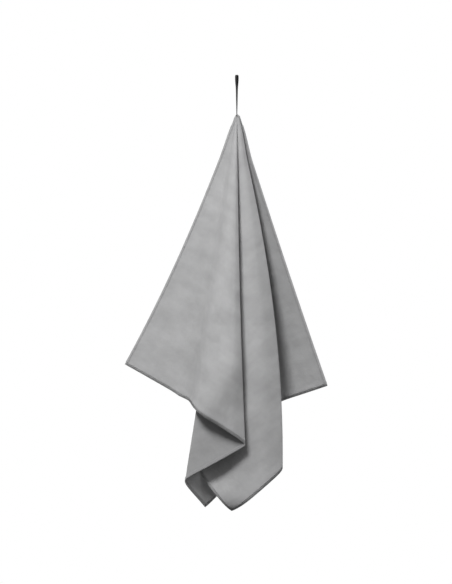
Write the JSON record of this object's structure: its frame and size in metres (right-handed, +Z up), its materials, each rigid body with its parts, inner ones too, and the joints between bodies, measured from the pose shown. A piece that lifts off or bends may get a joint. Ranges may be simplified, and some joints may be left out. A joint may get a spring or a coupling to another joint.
{
  "type": "quick dry towel",
  "caption": "Thin rectangular quick dry travel towel hanging in soft folds from a ribbon loop sewn to the middle of one long edge.",
  "frame": {"origin": "top of the inside of the loop's eye, where the loop rests on a hook", "axes": "+Z up, against the hang of the towel; +X to the right seen from the front; +Y away from the front"},
  "size_m": [0.4986, 0.4057, 1.0809],
  "materials": {
    "towel_fabric": "mid grey suede microfibre, fine and matte with a soft sheen",
    "hem_fabric": "the same cloth turned and pressed",
    "seam_thread": "grey polyester sewing thread",
    "ribbon": "black woven polyester ribbon",
    "black_thread": "black polyester thread, close zigzag"
  },
  "bodies": {
    "loop": {"hanging_loop": "ribbon"},
    "towel": {"towel_cloth": "towel_fabric", "hem_top": "hem_fabric", "hem_bottom": "hem_fabric", "hem_left": "hem_fabric", "hem_right": "hem_fabric", "stitching_top": "seam_thread", "stitching_bottom": "seam_thread", "stitching_left": "seam_thread", "stitching_right": "seam_thread", "loop_tail": "ribbon", "loop_tack": "black_thread"}
  },
  "joints": [
    {"name": "loop_bend", "type": "hinge", "parent": "loop", "child": "towel", "pos_m": [0, 0, -0.093], "axis": [0, 1, 0], "range_deg": [-120, 120]}
  ]
}
